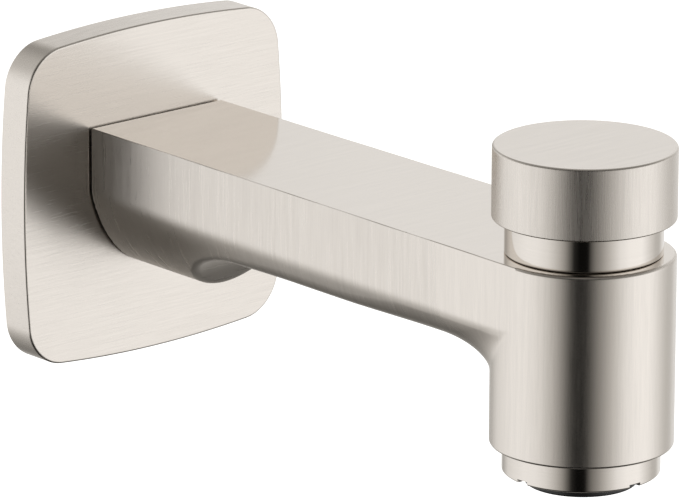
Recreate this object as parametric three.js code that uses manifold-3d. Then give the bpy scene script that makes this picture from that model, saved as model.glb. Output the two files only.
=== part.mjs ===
// Wall mounted tub spout with a pull-up diverter knob.
// Millimetres, +Z up. The origin is the centre of the wall plate's back face, which lies on the
// wall at y = 0, and the spout stands out along -Y. X is sideways.
import * as THREE from "three";
import { mergeVertices } from "three/addons/utils/BufferGeometryUtils.js";
import Module from "manifold-3d";

const wasm = await Module();
wasm.setup();

// ---------- driving dimensions ----------
const PLATE = { halfX: 35.4, halfZ: 35.6, thick: 8, wall: 2.1, bow: 2.3, corner: 25.5 };
const PLATE_BACK = { ledge: 3.2, pocket: 7, hole: 14 }; // the gasket's ledge, and the hollow in it
const GASKET = { outer: 2.6, inner: 6.5, thick: 3.1 }; // outer and inner are insets
const CENTERING = { inner: 13.6, outer: 21, back: -3.7, front: -5.8 };
const ROOT_SEAL = { inset: 0.6, back: -8.05, front: -8.45 };
const ARM = { top: 15.6, rootHalf: 17.6, edge: 0.9, face: -8.5 };
// The rounding below the upright sides is an ellipse, a little wider than the arm, so that it
// meets them at a slight angle.
const UNDERSIDE = { bulge: 0.8, centre: 9, depth: 25.4 };
// The arm is hollowed from below; the hollow's roof is level, and bends down to its root in part
// of an ellipse whose centre lies drop below the roof, at y = end.
const UNDERCUT = { end: -52, roof: -4.7, reach: 22.2, drop: 17.3, soften: 3.8 };
const BARREL = { y: -141.3, radius: 18.5, bottom: -24, rim: 0.8, foot: 0.5 };
// Fillet below the arm: an ellipse, longer along the arm than down the barrel.
const FILLET = { reach: 14, drop: 4.8 };
const SOCKET = { radius: 13.6, depth: -29 };
const WATERWAY = { z: 2.1, halfX: 10.5, halfZ: 4.5 };
const SLEEVE = { radius: 13.3, thread: 10.3, threadEnd: -15, bore: 6.5, back: -0.8, front: -27.5 };
const SLEEVE_SEAL = { width: 2, floor: 12.1, outer: -20.6, inner: -24.4 };
const SCREW = { y: -16, radius: 2.4, hole: 2.7, key: 2.5, head: -15.7, tip: -12, groove: 11.6 };
const CHAMBER = { radius: 12, bottom: -7.2, top: 7.1 };
const SEAT = { bore: 9.6, inner: 7, outer: 11.6, ledge: -9.6, bottom: -11.2, top: -7.2 };
const OUTLET = { radius: 12.8, top: -9.4, thread: 14.2, threadTop: -16.4 };
const BONNET = { radius: 15.9, top: 31.6, seat: 15.7, edge: 0.4 };
const BONNET_SEAL = { floor: 12.2, bottom: 13.2, top: 14.9 };
const STEM_SEAL = { floor: 4.5, bottom: 28.8, top: 30.8 };
const CYLINDER = { radius: 10.5, bottom: 7.5, top: 27.6 };
const WASHER = { inner: 3.4, outer: 10, bottom: 27.05, top: 27.5 };
const SPRING = { radius: 7.5, wire: 0.5, turns: 5 };
const PISTON = { radius: 10.2, bottom: 8.6, top: 12.8 };
const PISTON_SEAL = { floor: 8.7, bottom: 9.8, top: 11.6 };
const STEM = { radius: 3, endRadius: 2.5, bottom: -24.9, shoulder: -18, neck: 32, top: 35 };
const CLIP = { inner: 2.6, outer: 4.6, thick: 0.5, gap: 2, groove: 0.7, floor: 2.4 };
const VALVE = { collar: 6, washer: 9, disc: 8.6, nut: 8, nutBottom: -24.6, nutTop: -22.8 };
const KNOB = { radius: 18.5, bottom: 22.8, top: 37.6, cavity: 16.4, roof: 35.6, edge: 0.6 };
const INSERT = { radius: 16.1, bottom: 32.1, top: 35.4 };
const COLLAR = { radius: 15.9, bottom: -29.7, thread: 14, lip: 11.7, shoulder: -27.1, top: -18 };
const KEY_SLOT = { count: 4, width: 2.9, depth: 0.8, start: 13 };
const CARTRIDGE = { inner: 9.8, outer: 11.4, flange: 12.4, bottom: -32.1, top: -25.8 };
const RUNNING = 0.3; // clearance left round a shaft, screw or spigot in its hole
const FINE = 48; // segments of the turned pieces that show
const COARSE = 24; // segments of the turned pieces inside
const QUARTER = Math.PI / 2;

// ---------- colours ----------
const nickel = { color: 0xd2c9bf, roughness: 0.3, metalness: 1 };
const brass = { color: 0xc9a85c, roughness: 0.35, metalness: 1 };
const steel = { color: 0xb9bcc0, roughness: 0.3, metalness: 1 };
const rubber = { color: 0x151515, roughness: 0.8, metalness: 0 };
const foam = { color: 0x2a2a2a, roughness: 0.95, metalness: 0 };
const blackPlastic = { color: 0x1b1b1d, roughness: 0.5, metalness: 0 };
const whitePlastic = { color: 0xe6e4de, roughness: 0.45, metalness: 0 };

// ---------- from geometry to solids and back ----------
function solid(geometry) {
  const bare = geometry.index ? geometry.toNonIndexed() : geometry.clone();
  bare.deleteAttribute("normal");
  bare.deleteAttribute("uv");
  const merged = mergeVertices(bare, 1e-4);
  const corners = merged.index.array;
  const kept = [];
  for (let i = 0; i < corners.length; i += 3) {
    const [a, b, c] = corners.slice(i, i + 3);
    if (a !== b && b !== c && c !== a) kept.push(a, b, c);
  }
  const vertProperties = merged.attributes.position.array;
  const mesh = new wasm.Mesh({ numProp: 3, vertProperties, triVerts: new Uint32Array(kept) });
  const made = new wasm.Manifold(mesh);
  if (made.volume() > 0) return made;
  for (let i = 0; i < kept.length; i += 3) [kept[i + 1], kept[i + 2]] = [kept[i + 2], kept[i + 1]];
  const flipped = new wasm.Mesh({ numProp: 3, vertProperties, triVerts: new Uint32Array(kept) });
  return new wasm.Manifold(flipped);
}

function geometryOf(made) {
  const mesh = made.getMesh();
  const geometry = new THREE.BufferGeometry();
  geometry.setAttribute("position", new THREE.BufferAttribute(mesh.vertProperties.slice(), 3));
  geometry.setIndex(new THREE.BufferAttribute(mesh.triVerts.slice(), 1));
  geometry.computeVertexNormals();
  return geometry;
}

const cutAway = (from, ...tools) => tools.reduce((rest, tool) => rest.subtract(solid(tool)), from);

// ---------- shapes ----------
// A turned piece about +Z. The profile is a list of [radius, z]; one that starts and ends off the
// axis closes on itself.
function turned(profile, segments = COARSE) {
  const points = profile.map(([r, z]) => new THREE.Vector2(r, z));
  if (profile[0][0] > 0) points.push(points[0].clone());
  return new THREE.LatheGeometry(points, segments).rotateX(Math.PI / 2);
}

const rod = (radius, z0, z1, segments) =>
  turned([[0, z0], [radius, z0], [radius, z1], [0, z1]], segments);

const ring = (inner, outer, z0, z1, segments) =>
  turned([[inner, z0], [outer, z0], [outer, z1], [inner, z1]], segments);

// The same pieces about the spout's own direction, where z in the profile becomes y.
const alongY = (geometry) => geometry.rotateX(-Math.PI / 2);

function box(x0, x1, y0, y1, z0, z1) {
  const made = new THREE.BoxGeometry(x1 - x0, y1 - y0, z1 - z0);
  return made.translate((x0 + x1) / 2, (y0 + y1) / 2, (z0 + z1) / 2);
}

// A shape drawn in x and z, extruded from y0 out to y1.
function outward(shape, y0, y1, curveSegments = 6) {
  const depth = y0 - y1;
  const made = new THREE.ExtrudeGeometry(shape, { depth, bevelEnabled: false, curveSegments });
  return made.rotateX(Math.PI / 2).translate(0, y0, 0);
}

// [radius, z] points along an arc, given its centre, size, two angles and number of steps.
function arc(centreR, centreZ, size, from, to, steps) {
  const points = [];
  for (let i = 0; i <= steps; i++) {
    const angle = from + ((to - from) * i) / steps;
    points.push([centreR + size * Math.cos(angle), centreZ + size * Math.sin(angle)]);
  }
  return points;
}

// The plate's outline, pulled in by inset: four slightly bowed sides and four round corners.
function plateOutline(inset) {
  const shape = new THREE.Shape();
  const half = [PLATE.halfX - inset, PLATE.halfZ - inset];
  const end = PLATE.corner - inset * 0.75; // where each side meets its corner
  const drop = half.map((h) => (PLATE.bow * end * end) / (h * h));
  const handle = (half[0] - drop[0] - end) * 0.52;
  for (let side = 0; side < 4; side++) {
    const [c, s] = [[1, 0], [0, 1], [-1, 0], [0, -1]][side];
    const at = (x, z) => [x * c - z * s, x * s + z * c];
    const [h, d] = [half[side % 2], drop[side % 2]];
    const [hNext, dNext] = [half[(side + 1) % 2], drop[(side + 1) % 2]];
    if (side === 0) shape.moveTo(...at(h - d, -end));
    shape.quadraticCurveTo(...at(h + d, 0), ...at(h - d, end));
    const lean = (2 * handle) / end; // the corner starts and ends along the bowed sides
    shape.bezierCurveTo(
      ...at(h - d - d * lean, end + handle),
      ...at(end + handle, hNext - dNext - dNext * lean),
      ...at(end, hNext - dNext),
    );
  }
  return shape;
}

// The arm's section at its root, pulled in by inset: flat top, upright sides, round below.
function rootOutline(inset) {
  const half = ARM.rootHalf - inset;
  const top = ARM.top - inset;
  const wide = half + UNDERSIDE.bulge;
  const depth = UNDERSIDE.depth - inset;
  const start = Math.acos(half / wide);
  const sideEnd = UNDERSIDE.centre - depth * Math.sin(start);
  const shape = new THREE.Shape();
  shape.moveTo(half, sideEnd);
  shape.lineTo(half, top - ARM.edge);
  shape.absarc(half - ARM.edge, top - ARM.edge, ARM.edge, 0, QUARTER, false);
  shape.lineTo(-half + ARM.edge, top);
  shape.absarc(-half + ARM.edge, top - ARM.edge, ARM.edge, QUARTER, 2 * QUARTER, false);
  shape.lineTo(-half, sideEnd);
  const [from, to] = [2 * QUARTER + start, 4 * QUARTER - start];
  shape.absellipse(0, UNDERSIDE.centre, wide, depth, from, to, false, 0);
  return shape;
}

// ---------- the spout's casting ----------
// Height of the root's underside at x = across times the half width.
function undersideAt(across) {
  const part = (across * ARM.rootHalf) / (ARM.rootHalf + UNDERSIDE.bulge);
  return UNDERSIDE.centre - UNDERSIDE.depth * Math.sqrt(1 - part * part);
}

// Height of the undercut's roof, which is level beyond its round end.
function roofAt(y) {
  const part = THREE.MathUtils.clamp((y - UNDERCUT.end) / UNDERCUT.reach, 0, 1);
  return UNDERCUT.roof - UNDERCUT.drop * (1 - Math.sqrt(1 - part * part));
}

// The higher of two heights, with the corner between them softened.
function softMax(a, b) {
  const near = Math.max(0, 1 - Math.abs(a - b) / UNDERCUT.soften);
  return Math.max(a, b) + (near * near * UNDERCUT.soften) / 4;
}

// The arm seen from the side, at x = across times the half width: [y, z] points.
function sideProfile(across) {
  const x = Math.abs(across) * ARM.rootHalf;
  const over = Math.max(0, x - (ARM.rootHalf - ARM.edge));
  const top = ARM.top - ARM.edge + Math.sqrt(ARM.edge * ARM.edge - over * over);
  const rootZ = undersideAt(across);
  const armZ = softMax(rootZ, UNDERCUT.roof);
  const back = BARREL.y + BARREL.radius * Math.sqrt(1 - across * across);
  const shallowest = 0.5; // spaces the points where the root is no lower than the roof
  const rise = 1 - Math.max(shallowest, UNDERCUT.roof - rootZ) / UNDERCUT.drop;
  const lead = 2; // how far behind the corner its softening starts
  const start = UNDERCUT.end + UNDERCUT.reach * Math.sqrt(1 - rise * rise) + lead;
  const points = [[ARM.face, top], [ARM.face, rootZ]];
  const steps = 9;
  for (let i = 0; i <= steps; i++) {
    const y = THREE.MathUtils.lerp(start, UNDERCUT.end, i / steps);
    points.push([y, softMax(rootZ, roofAt(y))]);
  }
  const bends = 6;
  for (let i = 0; i <= bends; i++) {
    const angle = (QUARTER * i) / bends;
    const y = back + FILLET.reach * (1 - Math.sin(angle));
    points.push([y, armZ - FILLET.drop * (1 - Math.cos(angle))]);
  }
  points.push([BARREL.y - 1, armZ - FILLET.drop], [BARREL.y - 1, top]);
  return points;
}

// A closed surface through a list of like outlines, with flat ends.
function loft(outlines) {
  const around = outlines[0].length;
  const position = outlines.flat(2);
  const index = [];
  for (let i = 0; i + 1 < outlines.length; i++) {
    for (let j = 0; j < around; j++) {
      const a = i * around + j;
      const b = i * around + ((j + 1) % around);
      index.push(a, b, b + around, a, b + around, a + around);
    }
  }
  for (const [start, turn] of [[0, false], [(outlines.length - 1) * around, true]]) {
    const flat = outlines[start / around].map(([, y, z]) => new THREE.Vector2(y, z));
    for (const face of THREE.ShapeUtils.triangulateShape(flat, [])) {
      const [a, b, c] = face.map((k) => start + k);
      index.push(...(turn ? [a, c, b] : [a, b, c]));
    }
  }
  const geometry = new THREE.BufferGeometry();
  geometry.setAttribute("position", new THREE.Float32BufferAttribute(position, 3));
  return geometry.setIndex(index);
}

// The arm widens evenly from its root until its sides run into the barrel.
function armWithRoot() {
  const stations = 18;
  const outlines = [];
  for (let i = 0; i <= stations; i++) {
    const across = Math.sin(-QUARTER + (2 * QUARTER * i) / stations);
    outlines.push(
      sideProfile(across).map(([y, z]) => {
        const half = THREE.MathUtils.mapLinear(y, 0, BARREL.y, ARM.rootHalf, BARREL.radius);
        return [across * half, y, z];
      }),
    );
  }
  return loft(outlines);
}

function barrelBlank() {
  const { radius, rim, foot, bottom } = BARREL;
  const lower = arc(radius - foot, bottom + foot, foot, -QUARTER, 0, 3);
  const upper = arc(radius - rim, ARM.top - rim, rim, 0, QUARTER, 3);
  return turned([[0, bottom], ...lower, ...upper, [0, ARM.top]], FINE).translate(0, BARREL.y, 0);
}

// The spring-loaded valve works in a stepped bore: bonnet thread, chamber, seat, outlet, thread.
const LAP = 0.2; // how far each bore enters the next
const BORES = [
  [SOCKET.radius, CHAMBER.top - LAP / 2, ARM.top + 1],
  [CHAMBER.radius, CHAMBER.bottom, CHAMBER.top],
  [SEAT.bore, OUTLET.top - LAP / 2, CHAMBER.bottom + LAP],
  [OUTLET.radius, OUTLET.threadTop - LAP / 2, OUTLET.top],
  [OUTLET.thread, BARREL.bottom - 1, OUTLET.threadTop],
];

function spoutBody() {
  const whole = solid(armWithRoot()).add(solid(barrelBlank()));
  const waterway = new THREE.Shape();
  waterway.absellipse(0, WATERWAY.z, WATERWAY.halfX, WATERWAY.halfZ, 0, 4 * QUARTER, false, 0);
  const bores = BORES.map(([r, z0, z1]) => rod(r, z0, z1, FINE).translate(0, BARREL.y, 0));
  const below = UNDERSIDE.centre - UNDERSIDE.depth - 1;
  return cutAway(
    whole,
    alongY(rod(SOCKET.radius, SOCKET.depth, 0, FINE)),
    outward(waterway, SOCKET.depth + 1, BARREL.y, 5),
    rod(SCREW.hole, below, -SLEEVE.radius, COARSE).translate(0, SCREW.y, 0),
    ...bores,
  );
}

// ---------- pieces at the wall ----------
function wallPlate() {
  const { thick, wall } = PLATE;
  const { ledge, pocket, hole } = PLATE_BACK;
  return cutAway(
    solid(outward(plateOutline(0), 0, -thick, 5)),
    outward(plateOutline(wall), 1, -ledge, 5),
    outward(plateOutline(pocket), -ledge + 1, -thick + wall, 5),
    alongY(rod(hole, -thick - 1, 1, FINE)),
  );
}

function wallGasket() {
  const { outer, inner, thick } = GASKET;
  const hole = outward(plateOutline(inner), 1, -thick - 1, 4);
  return cutAway(solid(outward(plateOutline(outer), 0, -thick, 4)), hole);
}

function rootSeal() {
  const { inset, back, front } = ROOT_SEAL;
  const hole = alongY(rod(PLATE_BACK.hole, front - 1, back + 1, COARSE));
  return cutAway(solid(outward(rootOutline(inset), back, front, 8)), hole);
}

// Sleeve that screws on the pipe: thread and bore inside, screw groove and two seal grooves round it.
function inletAdaptor() {
  const { radius, thread, threadEnd, bore, back, front } = SLEEVE;
  const { width, floor, outer, inner } = SLEEVE_SEAL;
  const chamfer = 0.6;
  const [grooveHalf, grooveFloorHalf] = [2.6, 1.2]; // the screw's groove, at its top and floor
  const profile = [[bore, front], [radius - chamfer, front], [radius, front + chamfer]];
  for (const y of [inner, outer]) {
    profile.push([radius, y - width / 2], [floor, y - width / 2]);
    profile.push([floor, y + width / 2], [radius, y + width / 2]);
  }
  profile.push([radius, SCREW.y - grooveHalf], [SCREW.groove, SCREW.y - grooveFloorHalf]);
  profile.push([SCREW.groove, SCREW.y + grooveFloorHalf], [radius, SCREW.y + grooveHalf]);
  profile.push([radius, back], [thread + 0.5, back], [thread, back - 0.8]);
  profile.push([thread, threadEnd], [bore, threadEnd]);
  return solid(alongY(turned(profile, 32)));
}

function oRing(middle, thick) {
  return new THREE.TorusGeometry(middle, thick, 6, COARSE);
}

const hexagon = (acrossFlats, x = 0, y = 0) => {
  const points = [];
  for (let i = 0; i < 6; i++) {
    const angle = (Math.PI / 3) * i;
    const reach = acrossFlats / Math.sqrt(3);
    points.push(new THREE.Vector2(x + reach * Math.cos(angle), y + reach * Math.sin(angle)));
  }
  return points;
};

const prism = (shape, z0, z1, curveSegments = 3) =>
  new THREE.ExtrudeGeometry(shape, { depth: z1 - z0, bevelEnabled: false, curveSegments })
    .translate(0, 0, z0);

// Grub screw with a cone point that enters the sleeve's groove, and a hexagon socket below.
function setScrew() {
  const { radius, key, head, tip } = SCREW;
  const [cone, apex, socketDepth] = [1.6, 0.9, 1.8];
  const profile = [[0, head], [radius, head], [radius, tip - cone], [apex, tip], [0, tip]];
  const socket = prism(new THREE.Shape(hexagon(key)), head - 1, head + socketDepth);
  return cutAway(solid(turned(profile)), socket).translate(0, SCREW.y, 0);
}

// ---------- diverter ----------
// Points of a groove from bottom to top, in a wall of the given radius.
const groove = (radius, { floor, bottom, top }) =>
  [[radius, bottom], [floor, bottom], [floor, top], [radius, top]];

function diverterBonnet() {
  const { radius, top, seat, edge } = BONNET;
  const thread = SOCKET.radius - RUNNING;
  const stemHole = STEM.radius + RUNNING;
  return turned(
    [
      [CYLINDER.radius, CYLINDER.bottom], [thread, CYLINDER.bottom],
      ...groove(thread, BONNET_SEAL),
      [thread, seat], [radius, seat],
      [radius, top - edge], [radius - edge, top],
      [stemHole, top],
      ...groove(stemHole, STEM_SEAL).reverse(),
      [stemHole, CYLINDER.top], [CYLINDER.radius, CYLINDER.top],
    ],
    FINE,
  );
}

function pullKnob() {
  const { radius, bottom, top, cavity, roof, edge } = KNOB;
  const chamfer = 0.4;
  const upper = arc(radius - edge, top - edge, edge, 0, QUARTER, 3);
  const lower = [[cavity, bottom], [radius - chamfer, bottom], [radius, bottom + chamfer]];
  return turned([[0, roof], [cavity, roof], ...lower, ...upper, [0, top]], FINE);
}

// The coil's centre line climbs from z0 to z1 and runs level for the first and last half turn.
class Coil extends THREE.Curve {
  constructor(radius, turns, z0, z1) {
    super();
    Object.assign(this, { radius, turns, z0, z1 });
  }
  getPoint(t, target = new THREE.Vector3()) {
    const angle = 2 * Math.PI * this.turns * t;
    const lead = 0.5 / this.turns;
    const rise = THREE.MathUtils.smoothstep(t, lead * 0.4, 1 - lead * 0.4) * 0.3;
    const straight = THREE.MathUtils.clamp((t - lead) / (1 - 2 * lead), 0, 1) * 0.7;
    const z = this.z0 + (this.z1 - this.z0) * (rise + straight);
    return target.set(this.radius * Math.cos(angle), this.radius * Math.sin(angle), z);
  }
}

function returnSpring() {
  const { radius, wire, turns } = SPRING;
  const clear = 0.15; // the coil's ends stand just clear of the piston and the washer
  const path = new Coil(radius, turns, PISTON.top + clear + wire, WASHER.bottom - clear - wire);
  const section = new THREE.Shape();
  section.absarc(0, 0, wire, 0, 4 * QUARTER, false);
  return new THREE.ExtrudeGeometry(section, { extrudePath: path, steps: 64, curveSegments: 3 });
}

function diverterStem() {
  const { radius, endRadius, bottom, shoulder, neck, top } = STEM;
  const chamfer = 0.4;
  const clip = (z) => groove(radius, { floor: CLIP.floor, bottom: z, top: z + CLIP.groove });
  return turned([
    [0, bottom], [endRadius - chamfer, bottom], [endRadius, bottom + chamfer],
    [endRadius, shoulder], [radius, shoulder],
    ...clip(PISTON.bottom - CLIP.groove), ...clip(PISTON.top),
    [radius, neck], [endRadius, neck], [endRadius, top], [0, top],
  ]);
}

function piston() {
  const { radius, bottom, top } = PISTON;
  const hole = STEM.radius + 0.1;
  return turned([
    [hole, bottom], [radius, bottom], ...groove(radius, PISTON_SEAL), [radius, top], [hole, top],
  ]);
}

// Snap ring: a ring with a gap, so that it can be sprung into its groove.
function snapRing(bottom) {
  const { inner, outer, thick, gap } = CLIP;
  const opening = box(inner - 1, outer + 1, -gap / 2, gap / 2, bottom - 1, bottom + thick + 1);
  return cutAway(solid(ring(inner, outer, bottom, bottom + thick)), opening);
}

function valveNut() {
  const bore = new THREE.Path().absarc(0, 0, STEM.endRadius + RUNNING, 0, 4 * QUARTER, true);
  const shape = new THREE.Shape(hexagon(VALVE.nut));
  shape.holes.push(bore);
  return prism(shape, VALVE.nutBottom, VALVE.nutTop, 8);
}

// ---------- aerator ----------
function aeratorHousing() {
  const { radius, bottom, thread, lip, shoulder, top } = COLLAR;
  const seat = BARREL.bottom - 0.1;
  const [round, inset] = [0.4, 0.1];
  const inner = OUTLET.radius - 0.2;
  const profile = [
    [inner, top], [thread, top], [thread, seat], [radius, seat], [radius, bottom + round],
    ...arc(radius - round - inset, bottom + round, round, 0, -QUARTER, 3),
    [lip, bottom], [lip, shoulder], [inner, shoulder],
  ];
  const slots = Array.from({ length: KEY_SLOT.count }, (_, i) => {
    const half = KEY_SLOT.width / 2;
    const slot = box(KEY_SLOT.start, radius + 1, -half, half, bottom - 1, bottom + KEY_SLOT.depth);
    return slot.rotateZ((4 * QUARTER * i) / KEY_SLOT.count);
  });
  return cutAway(solid(turned(profile, FINE)), ...slots);
}

// Ring that carries the aerator's inside, with a flange that rests on the housing's shoulder.
function aeratorCartridge() {
  const { inner, outer, flange, bottom, top } = CARTRIDGE;
  const edge = 0.3;
  return turned([
    [inner, bottom], [outer - edge, bottom], [outer, bottom + edge],
    [outer, COLLAR.shoulder + 0.1], [flange, COLLAR.shoulder + 0.1], [flange, top], [inner, top],
  ]);
}

// A disc with a round of holes in it, given as outlines.
function pierced(radius, z0, z1, holes) {
  const shape = new THREE.Shape();
  shape.absarc(0, 0, radius, 0, 4 * QUARTER, false);
  shape.holes.push(...holes.map((points) => new THREE.Path(points.reverse())));
  return prism(shape, z0, z1, COARSE / 2);
}

function holesOnCircle(count, pitchRadius, acrossFlats) {
  return Array.from({ length: count }, (_, i) => {
    const angle = (4 * QUARTER * i) / count;
    return hexagon(acrossFlats, pitchRadius * Math.cos(angle), pitchRadius * Math.sin(angle));
  });
}

function honeycomb(pitch, acrossFlats, reach) {
  const cells = [];
  const rowPitch = (pitch * Math.sqrt(3)) / 2;
  for (let row = -2; row <= 2; row++) {
    for (let column = -2; column <= 2; column++) {
      const x = row * rowPitch;
      const y = (column + (Math.abs(row) % 2) / 2) * pitch;
      if (Math.hypot(x, y) < reach) cells.push(hexagon(acrossFlats, x, y));
    }
  }
  return cells;
}

// ---------- assembly ----------
const faucet = new THREE.Group();
const onBarrel = new THREE.Group();
onBarrel.position.y = BARREL.y;
faucet.add(onBarrel);

function place(parent, name, shape, look, z = 0) {
  const geometry = shape.isBufferGeometry ? geometryOf(solid(shape)) : geometryOf(shape);
  const mesh = new THREE.Mesh(geometry, new THREE.MeshStandardMaterial(look));
  mesh.name = name;
  mesh.position.z = z;
  parent.add(mesh);
}

place(faucet, "wall_plate", wallPlate(), nickel);
place(faucet, "wall_gasket", wallGasket(), foam);
const { inner: centreBore, outer: centreRim, back: centreBack, front: centreFront } = CENTERING;
place(faucet, "centering_ring", alongY(ring(centreBore, centreRim, centreFront, centreBack)),
  whitePlastic);
place(faucet, "root_seal", rootSeal(), rubber);
place(faucet, "spout_body", spoutBody(), nickel);
place(faucet, "inlet_adaptor", inletAdaptor(), brass);
const SLEEVE_RING = { middle: 12.85, thick: 0.62 };
for (const [name, y] of [["outer", SLEEVE_SEAL.outer], ["inner", SLEEVE_SEAL.inner]]) {
  const shape = oRing(SLEEVE_RING.middle, SLEEVE_RING.thick).translate(0, 0, y);
  place(faucet, `adaptor_o_ring_${name}`, alongY(shape), rubber);
}
place(faucet, "set_screw", setScrew(), steel);

const PLAIN_HOLE = STEM.endRadius + RUNNING; // of everything held on the stem's ends
const middleOf = ({ bottom, top }) => (bottom + top) / 2;
place(onBarrel, "diverter_bonnet", diverterBonnet(), nickel);
place(onBarrel, "bonnet_o_ring", oRing(12.9, 0.6), rubber, middleOf(BONNET_SEAL));
place(onBarrel, "stem_o_ring", oRing(3.85, 0.5), rubber, middleOf(STEM_SEAL));
place(onBarrel, "spring_washer", ring(WASHER.inner, WASHER.outer, WASHER.bottom, WASHER.top), steel);
place(onBarrel, "return_spring", returnSpring(), steel);
place(onBarrel, "seat_ring", turned([
  [SEAT.inner, SEAT.bottom], [SEAT.outer, SEAT.bottom], [SEAT.outer, SEAT.ledge],
  [SEAT.bore - RUNNING, SEAT.ledge], [SEAT.bore - RUNNING, SEAT.top], [SEAT.inner, SEAT.top],
]), brass);

place(onBarrel, "piston", piston(), whitePlastic);
place(onBarrel, "piston_seal", oRing(9.55, 0.7), rubber, middleOf(PISTON_SEAL));
place(onBarrel, "piston_clip_lower", snapRing(PISTON.bottom - 0.6), steel);
place(onBarrel, "piston_clip_upper", snapRing(PISTON.top + 0.1), steel);
place(onBarrel, "diverter_stem", diverterStem(), brass);
place(onBarrel, "valve_collar", ring(PLAIN_HOLE, VALVE.collar, -19.2, -18.05), brass);
place(onBarrel, "valve_washer", ring(PLAIN_HOLE, VALVE.washer, -21.3, -19.3), rubber);
place(onBarrel, "valve_disc", ring(PLAIN_HOLE, VALVE.disc, -22.6, -21.4), brass);
place(onBarrel, "valve_nut", valveNut(), steel);
place(onBarrel, "knob_insert", ring(PLAIN_HOLE, INSERT.radius, INSERT.bottom, INSERT.top, FINE),
  brass);
place(onBarrel, "pull_knob", pullKnob(), nickel);

place(onBarrel, "aerator_housing", aeratorHousing(), nickel);
place(onBarrel, "aerator_seal", ring(12.7, COLLAR.thread, -17.9, -16.6, FINE), rubber);
place(onBarrel, "aerator_cartridge", aeratorCartridge(), blackPlastic);
place(onBarrel, "aerator_screen",
  pierced(12, -25.7, -25.3, [...holesOnCircle(12, 9, 1.6), ...holesOnCircle(8, 5.5, 1.6)]), steel);
place(onBarrel, "flow_regulator", pierced(9.5, -28.6, -27.2, holesOnCircle(8, 6.5, 1.8)),
  whitePlastic);
place(onBarrel, "flow_straightener", pierced(9.5, -31.4, -29.9, honeycomb(3.9, 3.1, 7.9)),
  blackPlastic);

export default faucet;
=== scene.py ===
import math

import bpy
import numpy as np
from mathutils import Matrix, Vector


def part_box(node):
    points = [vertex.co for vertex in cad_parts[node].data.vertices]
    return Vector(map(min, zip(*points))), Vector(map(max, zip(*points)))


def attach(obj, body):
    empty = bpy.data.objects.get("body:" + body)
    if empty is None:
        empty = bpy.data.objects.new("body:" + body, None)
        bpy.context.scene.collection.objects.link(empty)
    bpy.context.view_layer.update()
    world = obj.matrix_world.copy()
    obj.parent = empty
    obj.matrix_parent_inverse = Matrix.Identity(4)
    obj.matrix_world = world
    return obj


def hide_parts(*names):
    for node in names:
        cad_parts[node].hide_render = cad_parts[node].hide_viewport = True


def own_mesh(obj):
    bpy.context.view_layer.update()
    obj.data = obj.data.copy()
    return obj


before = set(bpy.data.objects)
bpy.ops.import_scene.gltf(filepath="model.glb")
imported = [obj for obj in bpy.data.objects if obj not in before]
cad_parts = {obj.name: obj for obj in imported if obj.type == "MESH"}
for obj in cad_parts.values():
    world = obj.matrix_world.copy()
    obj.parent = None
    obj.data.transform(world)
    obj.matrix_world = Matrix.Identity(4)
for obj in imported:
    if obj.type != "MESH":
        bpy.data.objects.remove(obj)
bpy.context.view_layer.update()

MM = 0.001


def edges(node):
    """A CAD node's lowest and highest corner in millimetres."""
    low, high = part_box(node)
    return np.array(low) / MM, np.array(high) / MM


# ---------- sizes, in millimetres, from the CAD nodes ----------
BODY_LOW, BODY_HIGH = edges("spout_body")
PLATE_LOW, PLATE_HIGH = edges("wall_plate")
KNOB_LOW, KNOB_HIGH = edges("pull_knob")
NECK_LOW, NECK_HIGH = edges("diverter_bonnet")
COLLAR_LOW, COLLAR_HIGH = edges("aerator_housing")
INSERT_LOW, INSERT_HIGH = edges("aerator_cartridge")
SLEEVE_LOW, SLEEVE_HIGH = edges("inlet_adaptor")
SPRING_LOW, SPRING_HIGH = edges("return_spring")
BARREL_R = (KNOB_HIGH - KNOB_LOW)[0] / 2      # the knob is as wide as the barrel below it
BARREL_Y = (KNOB_HIGH + KNOB_LOW)[1] / 2
BARREL_BOTTOM = BODY_LOW[2]
ARM_TOP = BODY_HIGH[2]
ROOT_FACE = BODY_HIGH[1]

# ---------- shape details, in millimetres ----------
ARM_HALF = 17.6           # half width at the wall; it widens to the barrel's radius
BULGE, UNDER_CENTRE, UNDER_DEPTH = 0.8, 9.0, 25.4     # ellipse below the upright sides
SIDE_EDGE = 12.0          # softens the slight angle where they meet
UNDERCUT_END, UNDERCUT_ROOF, UNDERCUT_REACH, UNDERCUT_DROP = -52.0, -4.7, 22.2, 17.3
# Rounds of the hollow's edge at its root, along the arm and near the barrel. Each of the first
# two gives way to the next from its end at y on, over EDGE_CHANGE.
LIP_EDGE, UNDERSIDE_EDGE, BARREL_EDGE = 2.2, 4.5, 7.5
LIP_END, UNDERSIDE_END, EDGE_CHANGE = -40.0, -85.0, 30.0
FILLET_REACH, FILLET_DROP = 14.0, 4.8     # fillet below the arm, along it and down the barrel
FILLET_GROWTH = 7.0                       # it reaches its full size this far behind the axis
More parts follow.
